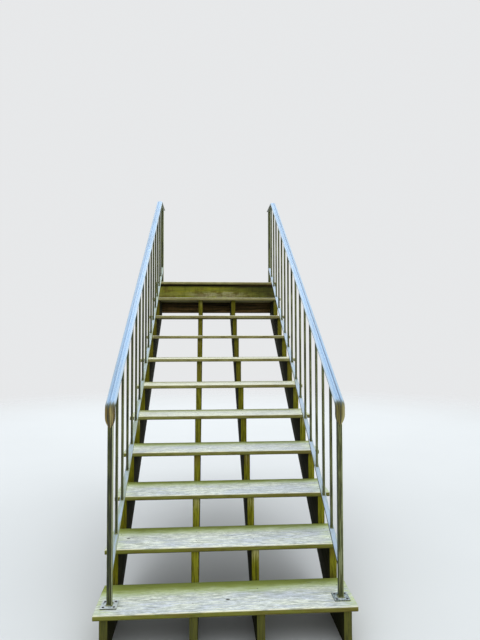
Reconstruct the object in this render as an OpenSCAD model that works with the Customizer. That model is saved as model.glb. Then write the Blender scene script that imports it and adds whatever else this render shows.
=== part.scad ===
// Deck stairs: four sawtooth stringers, open risers, single board treads, a deck edge
// that the flight hangs from, and a steel railing with a moulded cap rail on each side.
// X runs across the flight, Y up the climb and Z up. The origin is in the middle of the
// header board's back face, which is bolted to the deck.

/* [Flight] */
// Number of treads below the landing
steps = 10; // [8:1:12]
// Height from one tread to the next
rise = 181; // [165:1:195]
// Depth from one nosing to the next
run = 273; // [255:1:290]

/* [Treads] */
// Length of each tread board
tread_len = 1219; // [1100:1:1350]
// Thickness of each tread board
tread_t = 25; // [20:1:35]
// How far a nosing stands out past the riser line
nosing = 13; // [10:1:25]
// Radius on the long front edges of the boards
edge_r = 5; // [2:0.5:8]

/* [Stringers] */
// Thickness of a stringer board
stringer_t = 38; // [32:1:45]
// Width of the board that the stringers are cut from
stock_w = 286; // [260:1:320]
// How far a tread runs out past the outer stringers
tread_overhang = 28; // [15:1:45]
// Distance between the centres of the two inner stringers
inner_spacing = 311; // [200:1:400]

/* [Deck edge] */
// Thickness of the header board
header_t = 38; // [32:1:45]
// Height of the header board
header_h = 286; // [240:1:300]
// Thickness of the riser board above the top tread
riser_t = 19; // [15:1:25]
// Open gap between the riser board and the landing board
riser_gap = 17; // [5:1:30]
// Depth of the landing board
landing_d = 140; // [130:1:160]
// Thickness of the landing board
landing_t = 25; // [22:1:35]

/* [Posts] */
// Width of the square post tube
post_w = 25; // [22:1:30]
// Wall of the post tube
post_wall = 2; // [1.5:0.5:3]
// Radius on the long edges of the post tube
post_r = 3; // [2:0.5:4]
// Side of the square foot plates
plate_w = 76; // [65:1:80]
// Thickness of the foot plates
plate_t = 5; // [4:0.5:8]
// Distance from a foot plate's edge to the centres of its screw holes
hole_inset = 13; // [10:1:16]
// Diameter of the screw holes
hole_d = 8; // [6:0.5:9]
// Distance from a tread's end to the railing's centre line
rail_inset = 61; // [50:1:80]
// Distance from the first nosing to the lower post's centre
newel_y = 88; // [60:1:120]
// Distance from the landing board's back edge to the upper post's centre
top_post_inset = 45; // [42:1:60]

/* [Cap rail] */
// Height of the cap rail's top above the line of the nosings
rail_h = 890; // [860:1:920]
// Height of the cap rail's level stretch above the landing
level_h = 757; // [730:1:790]
// Width of the cap rail
cap_w = 48; // [44:1:52]
// Thickness of the cap rail at its crown
cap_t = 13; // [12:0.5:16]
// Thickness of the cap rail at its edges
cap_edge = 6; // [5:0.5:8]
// Distance from the cap rail's centre to the two coves beside its bead
cove_u = 7.5; // [6.5:0.25:9]
// Radius of those coves
cove_r = 4; // [3:0.25:4.5]
// Height of their centres above the cap rail's crown
cove_lift = 0.8; // [0.4:0.1:1.2]
// How much smaller all round the turned end is, which is a forged piece welded to the bar
end_inset = 0.3; // [0.2:0.1:0.5]
// Inner radius where the cap rail turns down over the lower post
bend_r = 30; // [24:1:40]
// Length of the turned down tongue below that bend
tongue_len = 86; // [70:1:110]
// Length of the tongue's pointed end
tongue_point = 56; // [40:1:65]
// Thickness of the tongue at its tip
tongue_tip_t = 4; // [3:0.5:6]
// How far the cap rail runs out past the upper post
cap_end = 8; // [2:1:20]

/* [Infill] */
// Width of the channels above and below the balusters
channel_w = 25; // [22:1:30]
// Height of those channels
channel_h = 13; // [10:1:16]
// Wall of those channels
channel_wall = 3; // [2:0.5:4]
// Height of the bottom rail's top above the line of the nosings
bottom_gap = 100; // [85:1:130]
// Width of a square baluster bar
baluster_w = 13; // [10:1:16]
// Wanted distance from one baluster to the next
baluster_pitch = 171; // [120:1:190]

/* [Hidden] */
SIDES = ["left", "right"];

slope = atan(rise / run);
tread_d = run + nosing;
landing_z = (steps + 1) * rise;
seat_z = steps * rise - tread_t;
header_y = steps * run + nosing + riser_t;
header_top = landing_z - landing_t;
header_back = header_y + header_t;
header_mid = header_top - header_h / 2;
outer_x = tread_len / 2 - tread_overhang - stringer_t / 2;
inner_x = inner_spacing / 2;
rail_x = tread_len / 2 - rail_inset;

newel_front = newel_y - post_w / 2;
newel_back = newel_y + post_w / 2;
top_post_y = steps * run + landing_d - top_post_inset;
top_post_front = top_post_y - post_w / 2;
level_z = landing_z + level_h;
knee_y = (level_z - rise - rail_h) * run / rise;
level_end = top_post_y + post_w / 2 + cap_end;
bend_y = newel_front + bend_r;
bend_z = cap_under(bend_y - bend_r * sin(slope)) - bend_r * cos(slope);
crown_r = (pow(cap_w / 2, 2) + pow(cap_t - cap_edge, 2)) / (2 * (cap_t - cap_edge));
reach = (steps + 2) * run;
// Longer than any piece of the flight
cut = 2 * reach;
// Angle that the turned end's root runs up inside the bar
end_root = 4;

baluster_spaces = round((top_post_y - newel_y) / baluster_pitch);
baluster_step = (top_post_y - newel_y) / baluster_spaces;

steel = [0.24, 0.26, 0.24];
grey_wood = [0.71, 0.71, 0.66];
green_wood = [0.44, 0.43, 0.20];

// Height of the line through the nosings at a place along the climb
function nose_z(y) = rise + y * rise / run;

// Height of the sloping cap rail's underside
function cap_under(y) = nose_z(y) + rail_h - cap_t / cos(slope);

// Place of the knee in a line that runs so far below the cap rail's top
function knee_at(depth) = knee_y + depth * tan(slope / 2);

// Height of such a line
function rail_z(y, depth) = min(nose_z(y) + rail_h - depth / cos(slope), level_z - depth);

// Height of the bottom rail's top
function infill_low(y) = nose_z(y) + bottom_gap;

// Side view outline, drawn with Y to the right and Z up, made as thick as said across X
module across(x, thick) {
    translate([x - thick / 2, 0, 0]) rotate([90, 0, 90]) linear_extrude(thick) children();
}

// Moves a shape from the flight's own place, first nosing and ground, to the origin
module placed() {
    translate([0, -header_back, -header_mid]) children();
}

// Board lying flat, with its two long front edges rounded
module flat_board(y, z_top, depth, thick, length) {
    color(grey_wood) across(0, length) translate([y, z_top - thick]) {
        translate([edge_r, 0]) square([depth - edge_r, thick]);
        translate([0, edge_r]) square([depth, thick - 2 * edge_r]);
        for (v = [edge_r, thick - edge_r]) translate([edge_r, v]) circle(r = edge_r, $fn = 48);
    }
}

module tread(n) {
    flat_board((n - 1) * run, n * rise, tread_d, tread_t, tread_len);
}

module landing_board() {
    flat_board(steps * run, landing_z, landing_d, landing_t, tread_len);
}

// Sawtooth stringer, with a level foot and a plumb cut against the header
module stringer(x) {
    drop = stock_w / cos(slope);
    teeth = [for (n = [1:steps]) each [
        [nosing + (n - 1) * run, n * rise - tread_t],
        [n == steps ? header_y : nosing + n * run, n * rise - tread_t]
    ]];
    tail_z = rise - tread_t + (header_y - nosing) * rise / run - drop;
    heel_y = nosing + (drop - rise + tread_t) * run / rise;
    outline = concat([[nosing, 0]], teeth, [[header_y, tail_z], [heel_y, 0]]);
    color(green_wood) across(x, stringer_t) polygon(outline);
}

module riser_board() {
    color(green_wood) translate([-tread_len / 2, header_y - riser_t, seat_z])
        cube([tread_len, riser_t, header_top - riser_gap - seat_z]);
}

module header_board() {
    color(green_wood) translate([-tread_len / 2, header_y, header_top - header_h])
        cube([tread_len, header_t, header_h]);
}

// Square plate with a screw hole near each corner
module foot_plate(x, y, z) {
    hole_u = plate_w / 2 - hole_inset;
    color(steel) translate([x, y, z]) linear_extrude(plate_t) difference() {
        square(plate_w, center = true);
        for (s = [-1, 1], t = [-1, 1]) translate([s * hole_u, t * hole_u]) circle(d = hole_d, $fn = 32);
    }
}

// Square with round corners
module round_square(width, corner_r) {
    square([width, width - 2 * corner_r], center = true);
    square([width - 2 * corner_r, width], center = true);
    for (s = [-1, 1], t = [-1, 1])
        translate([s, t] * (width / 2 - corner_r)) circle(r = corner_r, $fn = 48);
}

// Square tube whose closed top follows the side view outline given as children
module post_tube(x, y, z_low, z_hollow) {
    bore = post_w - 2 * post_wall;
    color(steel) difference() {
        intersection() {
            translate([x, y, z_low]) linear_extrude(level_z) round_square(post_w, post_r);
            across(x, post_w) children();
        }
        translate([x - bore / 2, y - bore / 2, z_low - post_wall])
            cube([bore, bore, z_hollow - z_low + post_wall]);
    }
}

module newel(x) {
    post_tube(x, newel_y, rise + plate_t, bend_z) {
        square([reach, bend_z]);
        translate([bend_y, bend_z]) circle(r = bend_r, $fn = 96);
        tangent_y = bend_y - bend_r * sin(slope);
        polygon([
            [tangent_y, 0], [reach, 0],
            [reach, cap_under(reach)], [tangent_y, cap_under(tangent_y)]
        ]);
    }
}

module top_post(x) {
    post_tube(x, top_post_y, landing_z + plate_t, level_z - cap_t - post_wall) {
        square([reach, level_z - cap_t]);
    }
}

// Section of the cap rail, that much smaller all round: flat edges, a wide crown and a
// cove on each side of its bead
module cap_section(inset) {
    width = cap_w - 2 * inset;
    intersection() {
        translate([-width / 2, inset]) square([width, cap_t]);
        crown(inset);
    }
}

// Everything under the cap rail's crown
module crown(inset) {
    difference() {
        union() {
            translate([0, cap_t - crown_r]) circle(r = crown_r - inset, $fn = 192);
            translate([-cap_w, -cut]) square([2 * cap_w, cut]);
        }
        for (s = [-1, 1])
            translate([s * cove_u, cap_t + cove_lift]) circle(r = cove_r + inset, $fn = 64);
    }
}

// Straight and level stretches of the cap rail, which meet at the knee in a mitre
module cap_bar() {
    root = [bend_y - bend_r * sin(slope), bend_z + bend_r * cos(slope)];
    intersection() {
        across(0, cap_w) polygon([
            root,
            [knee_at(cap_t), level_z - cap_t],
            [level_end, level_z - cap_t],
            [level_end, level_z + cap_t],
            [knee_at(-cap_t), level_z + cap_t],
            root + 2 * cap_t * [-sin(slope), cos(slope)]
        ]);
        intersection_for (turn = [-slope / 2, slope / 2])
            translate([0, knee_at(cap_t), level_z - cap_t]) rotate([slope / 2, 0, 0])
                rotate([turn, 0, 0]) translate([0, -cut, 0]) rotate([90, 0, 180])
                    linear_extrude(2 * cut) crown(0);
    }
}

// Turned down end that tapers to a point in front of the lower post
module tongue() {
    arc_r = (pow(tongue_point, 2) + pow(cap_w / 2, 2)) / cap_w;
    point_z = tongue_point - tongue_len;
    intersection() {
        rotate([180, 0, 0]) linear_extrude(tongue_len) cap_section(end_inset);
        rotate([90, 0, 0]) linear_extrude(2 * cap_t) {
            intersection_for (s = [-1, 1])
                translate([s * (arc_r - cap_w / 2), point_z]) circle(r = arc_r, $fn = 192);
            translate([-cap_w / 2, point_z]) square([cap_w, tongue_len]);
        }
        across(0, cap_w) polygon([
            [0, 0], [-cap_t, 0], [-cap_t, point_z], [-tongue_tip_t, -tongue_len], [0, -tongue_len]
        ]);
    }
}

module cap_rail(x) {
    color(steel) translate([x, 0, 0]) {
        cap_bar();
        translate([0, bend_y, bend_z]) {
            rotate([90, 0, -90]) rotate_extrude(angle = 90 - slope + end_root, $fn = 96)
                translate([bend_r, 0]) rotate(-90) cap_section(end_inset);
            translate([0, -bend_r, 0]) tongue();
        }
    }
}

// Side view of a strip between the posts, with its top and bottom so far below the cap's top
module kneed_strip(top, bottom) {
    polygon([
        [newel_back, rail_z(newel_back, bottom)],
        [knee_at(bottom), level_z - bottom],
        [top_post_front, level_z - bottom],
        [top_post_front, level_z - top],
        [knee_at(top), level_z - top],
        [newel_back, rail_z(newel_back, top)]
    ]);
}

// Side view of a strip between the posts, from the bottom rail's top down
module straight_strip(height) {
    polygon([
        [newel_back, infill_low(newel_back) - height / cos(slope)],
        [top_post_front, infill_low(top_post_front) - height / cos(slope)],
        [top_post_front, infill_low(top_post_front)],
        [newel_back, infill_low(newel_back)]
    ]);
}

// Channel with its web at the bottom and its flanges up against the cap rail
module top_channel(x) {
    depth = cap_t + channel_h;
    color(steel) {
        across(x, channel_w) kneed_strip(depth - channel_wall, depth);
        for (s = [-1, 1])
            across(x + s * (channel_w - channel_wall) / 2, channel_wall) kneed_strip(cap_t, depth);
    }
}

// Channel with its web at the top and its flanges down
module bottom_rail(x) {
    color(steel) {
        across(x, channel_w) straight_strip(channel_wall);
        for (s = [-1, 1])
            across(x + s * (channel_w - channel_wall) / 2, channel_wall) straight_strip(channel_h);
    }
}

module balusters(x) {
    depth = cap_t + channel_h;
    color(steel) for (n = [1:baluster_spaces - 1]) {
        y0 = newel_y + n * baluster_step - baluster_w / 2;
        y1 = y0 + baluster_w;
        across(x, baluster_w) polygon([
            [y0, infill_low(y0)], [y1, infill_low(y1)],
            [y1, rail_z(y1, depth)], [y0, rail_z(y0, depth)]
        ]);
    }
}

placed() stringer(-outer_x);  // stringer_left_outer
placed() stringer(-inner_x);  // stringer_left_inner
placed() stringer(inner_x);  // stringer_right_inner
placed() stringer(outer_x);  // stringer_right_outer
for (n = [1:steps]) {
    placed() tread(n);
}
placed() riser_board();
placed() header_board();
placed() landing_board();
for (s = SIDES) {
    x = s == "left" ? -rail_x : rail_x;
    placed() foot_plate(x, newel_y, rise);
    placed() newel(x);
    placed() cap_rail(x);
    placed() top_channel(x);
    placed() bottom_rail(x);
    placed() balusters(x);
    placed() foot_plate(x, top_post_y, landing_z);
    placed() top_post(x);
}
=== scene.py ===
"""Looks of the deck stairs: weathered boards, algae, painted steel rails and their fasteners."""
import math
import random

import bmesh
import bpy
import numpy as np
from mathutils import Matrix, Vector, noise


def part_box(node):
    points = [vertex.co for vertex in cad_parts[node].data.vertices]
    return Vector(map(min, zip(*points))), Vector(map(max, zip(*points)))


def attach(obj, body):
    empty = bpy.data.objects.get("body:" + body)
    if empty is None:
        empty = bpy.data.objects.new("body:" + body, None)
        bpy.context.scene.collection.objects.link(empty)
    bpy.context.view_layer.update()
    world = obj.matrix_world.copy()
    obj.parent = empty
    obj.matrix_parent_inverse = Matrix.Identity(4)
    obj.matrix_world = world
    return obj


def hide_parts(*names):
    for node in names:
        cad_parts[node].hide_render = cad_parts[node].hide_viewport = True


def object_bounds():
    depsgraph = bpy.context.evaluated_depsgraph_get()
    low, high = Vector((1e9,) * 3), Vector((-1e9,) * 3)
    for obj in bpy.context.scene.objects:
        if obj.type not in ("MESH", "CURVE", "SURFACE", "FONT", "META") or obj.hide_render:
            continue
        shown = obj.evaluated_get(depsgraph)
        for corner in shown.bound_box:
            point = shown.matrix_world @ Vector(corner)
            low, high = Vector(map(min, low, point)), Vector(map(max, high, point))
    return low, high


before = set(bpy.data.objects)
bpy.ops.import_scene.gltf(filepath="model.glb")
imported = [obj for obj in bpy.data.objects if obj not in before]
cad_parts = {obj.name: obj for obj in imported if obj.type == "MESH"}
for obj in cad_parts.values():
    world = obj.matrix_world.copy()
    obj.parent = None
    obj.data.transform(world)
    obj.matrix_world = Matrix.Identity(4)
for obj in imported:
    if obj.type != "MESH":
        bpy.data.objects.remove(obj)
CAD_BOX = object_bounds()

MM = 0.001
SIDES = ("left", "right")
SIDE_SIGN = {"left": -1, "right": 1}
STEPS = sum(1 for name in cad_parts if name.startswith("tread_"))
TREADS = [f"tread_{n}" for n in range(1, STEPS + 1)]
STRINGERS = [f"stringer_{place}" for place in ("left_outer", "left_inner", "right_inner", "right_outer")]

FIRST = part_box("tread_1")
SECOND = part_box("tread_2")
RUN = SECOND[0].y - FIRST[0].y
RISE = SECOND[1].z - FIRST[1].z
SLOPE = math.atan2(RISE, RUN)
GROUND = CAD_BOX[0][2]

# Growth rings, and the distance from the middle at which the stringers' outer faces begin
RING_PITCH = 6.5 * MM
RING_WARP = 22.0
OUTER_FACE_AT = (0.57, 0.575)


# Colours, given as sRGB and kept as linear values

def srgb(red, green, blue):
    """Linear colour with alpha from an sRGB colour in 0 to 255."""
    def channel(value):
        value /= 255
        return value / 12.92 if value <= 0.04045 else ((value + 0.055) / 1.055) ** 2.4
    return tuple(channel(v) for v in (red, green, blue)) + (1.0,)


BOARD_WHITE = srgb(238, 242, 228)
BOARD_BLUE = srgb(209, 215, 225)
BOARD_GREY = srgb(140, 148, 140)
BOARD_CRACK = srgb(88, 88, 72)
BOARD_FRONT_LINE = srgb(238, 234, 200)
BOARD_KNOT = srgb(58, 54, 48)
BOARD_END = srgb(150, 148, 104)
BOARD_UNDER = srgb(92, 82, 52)
ALGAE_PALE = srgb(184, 200, 134)
ALGAE = srgb(140, 152, 62)
EDGE_LIGHT = srgb(146, 146, 72)
EDGE_OLIVE = srgb(126, 128, 52)
EDGE_TAN = srgb(172, 164, 116)
EDGE_DARK = srgb(72, 72, 18)
CUT_LIGHT = srgb(144, 142, 40)
CUT_OLIVE = srgb(108, 104, 14)
CUT_BROWN = srgb(104, 84, 40)
SIDE_DARK = srgb(26, 30, 16)
SIDE_BROWN = srgb(46, 44, 22)
SIDE_OUTER = srgb(104, 96, 58)
TIMBER_SPLASH = srgb(78, 80, 50)
TIMBER_BARE = srgb(186, 178, 118)
TIMBER_HIGH_SHADED = srgb(86, 76, 28)
RISER_PALE = srgb(186, 178, 142)
DEEP_SHADE = srgb(14, 12, 4)
HEADER_BROWN = srgb(146, 114, 70)
PAINT = srgb(36, 42, 16)
PAINT_BRONZE = srgb(86, 90, 42)
PAINT_SHADED = srgb(24, 34, 14)
PAINT_LIT_RIGHT = srgb(120, 126, 84)
PAINT_CORNER_HIGHLIGHT = srgb(206, 212, 168)
PAINT_WORN = srgb(150, 156, 110)
CAP_DARK = srgb(50, 50, 24)
CAP_BRONZE = srgb(142, 116, 40)
CAP_OLIVE = srgb(132, 120, 44)
CAP_CREAM = srgb(184, 174, 112)
CAP_GREY = srgb(88, 100, 82)
CAP_SKY = srgb(160, 198, 236)
CAP_EDGE_HIGHLIGHT = srgb(188, 210, 230)
CAP_SKY_DEEP = srgb(74, 104, 142)
RAIL_SKY = srgb(190, 210, 234)
RAIL_PALE = srgb(174, 188, 172)
PLATE_SKY = srgb(214, 222, 222)
PLATE_DULL = srgb(118, 136, 148)
RUST = srgb(96, 58, 30)
ZINC = srgb(44, 48, 56)


# Shader building

class Nodes:
    """Adds nodes to a node tree; each method gives back the output of its last node."""

    def __init__(self, tree):
        self.tree = tree

    def feed(self, socket, value):
        """Links an output to a socket, or sets a plain value on it."""
        if isinstance(value, bpy.types.NodeSocket):
            self.tree.links.new(value, socket)
        else:
            socket.default_value = value

    def add(self, kind, inputs=(), out=0, **settings):
        """One node, with its inputs by name or number."""
        node = self.tree.nodes.new("ShaderNode" + kind)
        for key, value in settings.items():
            setattr(node, key, value)
        for key, value in dict(inputs).items():
            self.feed(node.inputs[key], value)
        return node.outputs[out]

    def axes(self, vector):
        """The three parts of a vector."""
        node = self.tree.nodes.new("ShaderNodeSeparateXYZ")
        self.feed(node.inputs[0], vector)
        return node.outputs

    def span(self, value, low, high, to_low=0.0, to_high=1.0):
        """Smooth step from to_low, where the value is low, to to_high, where it is high."""
        return self.add("MapRange", {"Value": value, "From Min": low, "From Max": high,
                                     "To Min": to_low, "To Max": to_high},
                        interpolation_type="SMOOTHSTEP")

    def math(self, operation, a, b=0.0):
        """One step of arithmetic."""
        return self.add("Math", {0: a, 1: b}, operation=operation)

    def plus(self, a, b):
        """Sum."""
        return self.math("ADD", a, b)

    def minus(self, a, b):
        """Difference."""
        return self.math("SUBTRACT", a, b)

    def times(self, a, b):
        """Product."""
        return self.math("MULTIPLY", a, b)

    def greater(self, a, b):
        """The greater of two values."""
        return self.math("MAXIMUM", a, b)

    def unsigned(self, value):
        """The value without its sign."""
        return self.math("ABSOLUTE", value)

    def part(self, value, low, high, share):
        """Smooth step from 0 to that share."""
        return self.times(self.span(value, low, high), share)

    def swing(self, noise_value, reach):
        """A noise moved to run evenly round zero, times its reach."""
        return self.times(self.minus(noise_value, 0.5), reach)


class Shader(Nodes):
    """Builds one material round its Principled shader."""

    def __init__(self, name):
        self.material = bpy.data.materials.new(name)
        self.material.use_nodes = True
        super().__init__(self.material.node_tree)
        self.bsdf = self.tree.nodes["Principled BSDF"]

    def place(self):
        """Place on the piece, in metres; every piece keeps the part's own axes."""
        return self.add("TexCoord", out="Object")

    def normal(self):
        """The three parts of the way that the surface faces."""
        return self.axes(self.add("NewGeometry", out="Normal"))

    def attribute(self, name, out="Fac"):
        """What the mesh carries at its points under that name."""
        return self.add("Attribute", out=out, attribute_name=name)

    def stretch(self, vector, scale, turn=(0, 0, 0)):
        """Coordinates turned and then scaled, so that one metre is that many noise cells."""
        turned = self.add("Mapping", {"Vector": vector, "Rotation": turn})
        return self.add("Mapping", {"Vector": turned, "Scale": scale})

    def noise(self, vector, detail=3.0, rough=0.55, twist=0.0):
        """Noise between 0 and 1, mostly near 0.5."""
        return self.add("TexNoise", {"Vector": vector, "Scale": 1.0, "Detail": detail,
                                     "Roughness": rough, "Distortion": twist}, out="Fac")

    def mix(self, factor, a, b):
        """Colour a where the factor is 0, colour b where it is 1."""
        node = self.tree.nodes.new("ShaderNodeMix")
        node.data_type = "RGBA"
        self.feed(node.inputs[0], factor)
        self.feed(node.inputs[6], a)
        self.feed(node.inputs[7], b)
        return node.outputs[2]

    def vector(self, operation, a, b=(0, 0, 0), out=0):
        """One step of arithmetic on vectors; output 1 is a plain number, such as a length."""
        return self.add("VectorMath", {0: a, 1: b}, out=out, operation=operation)

    def rings(self, grain, pitch, warp):
        """Growth rings round the pith, which the grain coordinates are measured from."""
        _, across, below = self.axes(grain)
        square = self.plus(self.math("POWER", self.unsigned(across), 2.0),
                           self.math("POWER", self.unsigned(below), 2.0))
        turns = self.times(self.math("SQRT", square), 2 * math.pi / pitch)
        wave = self.math("SINE", self.plus(turns, self.times(warp, RING_WARP)))
        return self.span(wave, -0.2, 1.0)

    def bump(self, height, depth, strength):
        """Relief of that depth in metres."""
        return self.add("Bump", {"Height": height, "Distance": depth, "Strength": strength})

    def finish(self, **sockets):
        """Feeds the shader's sockets, named with _ for a space, and gives back the material."""
        for key, value in sockets.items():
            self.feed(self.bsdf.inputs[key.replace("_", " ")], value)
        return self.material


# Materials. Steps on a noise lie round its middle, 0.5. Places and heights are metres in the part's
# frame: the treads' tops lie between -1.64 and -0.01, the stringers and railings up to 0.6 from the middle.

def board_material():
    """Bare board, bleached on top, with algae along its back, olive on its front face, and painted shade on
    its front and back faces.
    """
    s = Shader("weathered_board")
    grain = s.attribute("grain", out="Vector")
    depth, drop, along = s.axes(s.attribute("zones", out="Vector"))
    height = s.axes(s.place())[2]
    normal = s.normal()
    front = s.span(s.times(normal[1], -1.0), 0.78, 0.96)
    front = s.greater(front, s.span(normal[2], 0.12, -0.12))
    under = s.span(s.times(normal[2], -1.0), 0.55, 0.80)
    end = s.span(s.unsigned(normal[0]), 0.60, 0.85)

    # Noises along the grain, from broad blotches to fine hairs
    blotch = s.noise(s.stretch(grain, (3.5, 11.0, 11.0)), detail=3)
    cloud = s.noise(s.stretch(grain, (14.0, 50.0, 50.0)), detail=4, rough=0.6)
    fibre = s.noise(s.stretch(grain, (13.0, 240.0, 240.0)), detail=4, rough=0.7, twist=0.2)
    fleck = s.noise(s.stretch(grain, (40.0, 170.0, 170.0)), detail=3, rough=0.7)
    hair = s.noise(s.stretch(grain, (8.0, 620.0, 620.0)), detail=3, rough=0.6)
    vein = s.noise(s.stretch(grain, (7.0, 120.0, 120.0)), detail=3, rough=0.6)
    tick = s.noise(s.stretch(grain, (11.0, 260.0, 260.0)), detail=2, rough=0.5)
    ring = s.rings(grain, RING_PITCH, s.noise(s.stretch(grain, (2.0, 14.0, 14.0)), detail=2))

    # Top: white and bluish grey by turns, with darker fibres and growth rings
    cold = s.times(s.plus(blotch, vein), 0.5)
    cold = s.plus(cold, s.times(along, 0.04))
    top = s.mix(s.span(cold, 0.42, 0.58), BOARD_WHITE, BOARD_BLUE)
    top = s.mix(s.part(fleck, 0.46, 0.62, 0.45), top, BOARD_GREY)
    top = s.mix(s.part(fibre, 0.46, 0.64, 0.85), top, BOARD_GREY)
    top = s.mix(s.times(ring, 0.28), top, BOARD_GREY)
    top = s.mix(s.part(hair, 0.52, 0.74, 0.35), top, BOARD_CRACK)

    # Algae creeps in from the back edge and the corners, less far on the upper treads
    reach = s.plus(depth, s.swing(cloud, 0.18))
    reach = s.plus(reach, s.swing(blotch, 0.16))
    reach = s.plus(reach, s.swing(fibre, 0.26))
    reach = s.minus(reach, s.times(along, 0.05))
    reach = s.minus(reach, s.span(height, -1.64, -1.46, 0.0, 0.06))
    reach = s.minus(reach, s.span(height, -1.1, -0.7, 0.0, 0.08))
    corner = s.times(s.span(s.unsigned(along), 0.80, 1.0), s.span(cloud, 0.35, 0.65))
    film = s.greater(s.span(reach, 0.48, 0.78), corner)
    top = s.mix(s.times(film, 0.80), top, ALGAE_PALE)
    top = s.mix(s.part(reach, 0.66, 0.88, 0.90), top, ALGAE)

    # Straw tone of the upper treads, a painted highlight along the front edge, and short dark cracks
    top = s.mix(s.span(height, -1.25, -0.55, 0.0, 0.55), top, BOARD_FRONT_LINE)
    # Painted highlight: a pale stripe along the front edge of the top
    line = s.times(s.span(depth, 0.045, 0.010), s.span(fibre, 0.66, 0.40))
    top = s.mix(s.times(line, 0.8), top, BOARD_FRONT_LINE)
    top = s.mix(s.part(tick, 0.63, 0.72, 0.75), top, BOARD_CRACK)

    # Front face, olive darkened with painted shade, drier and paler further up, with a painted shadow along
    # its lower edge; then the back, the underside and the ends
    face = s.mix(s.span(drop, 0.15, 0.45), EDGE_LIGHT, EDGE_OLIVE)
    face = s.mix(s.span(height, -1.5, -0.2, 0.0, 0.8), face, EDGE_TAN)
    # Painted shadow along the lower edge of the front face, stronger on the lower treads
    low_edge_shade = s.times(s.span(drop, 0.62, 0.98), s.span(height, -1.1, -0.5, 0.8, 0.35))
    face = s.mix(low_edge_shade, face, EDGE_DARK)
    face = s.mix(s.part(cloud, 0.50, 0.70, 0.40), face, EDGE_DARK)
    face = s.mix(s.part(fibre, 0.52, 0.72, 0.40), face, EDGE_DARK)
    face = s.mix(s.part(cold, 0.46, 0.58, 0.45), face, CUT_BROWN)
    # Painted shade on the back face, in dark olive
    back = s.span(normal[1], 0.70, 0.92)
    colour = s.mix(front, top, face)
    colour = s.mix(back, colour, s.mix(s.span(cloud, 0.36, 0.60), EDGE_OLIVE, EDGE_DARK))
    colour = s.mix(under, colour, s.mix(s.span(cloud, 0.40, 0.60), BOARD_UNDER, EDGE_DARK))
    end_face = s.mix(ring, BOARD_END, EDGE_OLIVE)
    colour = s.mix(end, colour, s.mix(s.span(cloud, 0.45, 0.62), end_face, ALGAE))

    # Knots, with dark specks round them
    away = s.attribute("knot_at", out="Vector")
    from_knot = s.vector("LENGTH", s.vector("MULTIPLY", away, (0.7, 1.0, 1.0)), out=1)
    ragged = s.plus(from_knot, s.swing(fibre, 0.010))
    speckle = s.times(s.span(ragged, 0.045, 0.012), s.span(fibre, 0.56, 0.64))
    colour = s.mix(s.times(speckle, 0.8), colour, BOARD_CRACK)
    colour = s.mix(s.span(ragged, 0.0075, 0.0045), colour, BOARD_KNOT)

    # Relief: raised rings, sunken fibres, cracks and hairs
    relief = s.plus(s.times(fibre, -0.6), s.times(ring, 0.25))
    relief = s.plus(relief, s.times(s.span(tick, 0.60, 0.74), -0.7))
    relief = s.plus(relief, s.times(hair, -0.4))
    rough = s.span(fibre, 0.3, 0.7, 0.74, 0.94)
    return s.finish(Base_Color=colour, Roughness=rough, Specular_IOR_Level=0.2,
                    Normal=s.bump(relief, 1.0 * MM, 0.7))


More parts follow.
